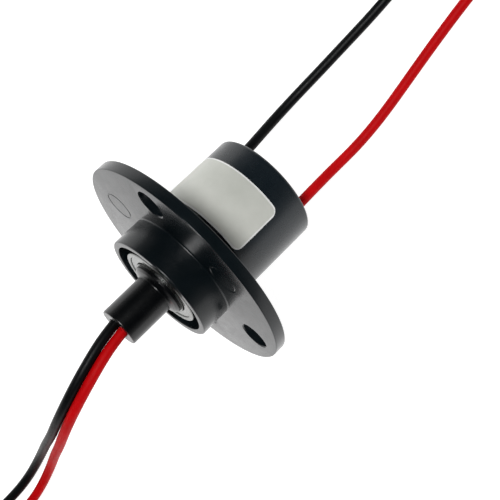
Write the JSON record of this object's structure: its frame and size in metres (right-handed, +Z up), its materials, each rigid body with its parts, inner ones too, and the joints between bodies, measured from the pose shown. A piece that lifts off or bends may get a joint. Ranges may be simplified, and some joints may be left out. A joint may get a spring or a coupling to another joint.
{
  "type": "slip ring",
  "caption": "Flanged capsule slip ring lying loose: round mounting flange, front collar round a turning nose, rear shell, and a red and a black lead from each end, each ending in a coil.",
  "frame": {"origin": "middle of the bottom of the ring's box, without its leads, on the surface that it lies on", "axes": "+Z up, +X across the ring, -Y the side that the rotor's nose points to, raised by the rest angle"},
  "size_m": [0.061, 0.1906, 0.039],
  "materials": {
    "housing_plastic": "satin",
    "shell_plastic": "satin",
    "cap_plastic": "satin",
    "pin_plastic": "satin",
    "label_film": "satin",
    "bearing_steel": "polished",
    "shield_steel": "satin",
    "cage_brass": "satin",
    "ball_steel": "polished",
    "carrier_plastic": "satin",
    "spindle_plastic": "satin",
    "spacer_steel": "satin",
    "clip_steel": "satin",
    "potting": "gloss",
    "insulator": "satin",
    "contact_gold": "polished",
    "brush_gold": "polished",
    "board_green": "satin",
    "solder": "satin",
    "wire_red": "gloss",
    "wire_black": "gloss",
    "tie_white": "satin"
  },
  "bodies": {
    "stator": {"front_housing": "housing_plastic", "rear_shell": "shell_plastic", "rear_cap": "cap_plastic", "locking_pin": "pin_plastic", "label": "label_film", "front_bearing_outer_ring": "bearing_steel", "front_bearing_front_shield": "shield_steel", "front_bearing_rear_shield": "shield_steel", "rear_bearing_carrier": "carrier_plastic", "rear_bearing_outer_ring": "bearing_steel", "red_brush_board": "board_green", "black_brush_board": "board_green", "red_solder_pad": "solder", "black_solder_pad": "solder", "brush_1": "brush_gold", "brush_2": "brush_gold", "brush_3": "brush_gold", "brush_4": "brush_gold", "brush_5": "brush_gold", "brush_6": "brush_gold", "red_stator_core": "wire_red", "black_stator_core": "wire_black", "red_stator_lead": "wire_red", "black_stator_lead": "wire_black", "red_stator_coil": "wire_red", "black_stator_coil": "wire_black", "red_stator_tie": "tie_white", "black_stator_tie": "tie_white"},
    "rotor": {"spindle": "spindle_plastic", "bearing_spacer": "spacer_steel", "retaining_ring": "clip_steel", "nose_plug": "potting", "insulating_washers": "insulator", "contact_ring_1": "contact_gold", "contact_ring_2": "contact_gold", "contact_ring_3": "contact_gold", "contact_ring_4": "contact_gold", "contact_ring_5": "contact_gold", "contact_ring_6": "contact_gold", "front_bearing_inner_ring": "bearing_steel", "rear_bearing_inner_ring": "bearing_steel", "red_rotor_core": "wire_red", "red_rotor_lead": "wire_red", "red_rotor_coil": "wire_red", "red_rotor_tie": "tie_white", "black_rotor_core": "wire_black", "black_rotor_lead": "wire_black", "black_rotor_coil": "wire_black", "black_rotor_tie": "tie_white"},
    "front_bearing_cage_set": {"front_bearing_cage": "cage_brass", "front_bearing_balls": "ball_steel"},
    "rear_bearing_cage_set": {"rear_bearing_cage": "cage_brass", "rear_bearing_balls": "ball_steel"}
  },
  "joints": [
    {"name": "rotor_spin", "type": "hinge", "parent": "stator", "child": "rotor", "pos_m": [0, -0.0042, 0.02005], "axis": [0, -0.853, 0.5219], "continuous": true},
    {"name": "front_cage_spin", "type": "hinge", "parent": "stator", "child": "front_bearing_cage_set", "pos_m": [0, -0.0068, 0.02164], "axis": [0, -0.853, 0.5219], "continuous": true},
    {"name": "rear_cage_spin", "type": "hinge", "parent": "stator", "child": "rear_bearing_cage_set", "pos_m": [0, 0.00868, 0.01217], "axis": [0, -0.853, 0.5219], "continuous": true}
  ],
  "couplings": [
    {"joint": "front_cage_spin", "follows": "rotor_spin", "ratio": 0.4333},
    {"joint": "rear_cage_spin", "follows": "rotor_spin", "ratio": 0.4286}
  ]
}
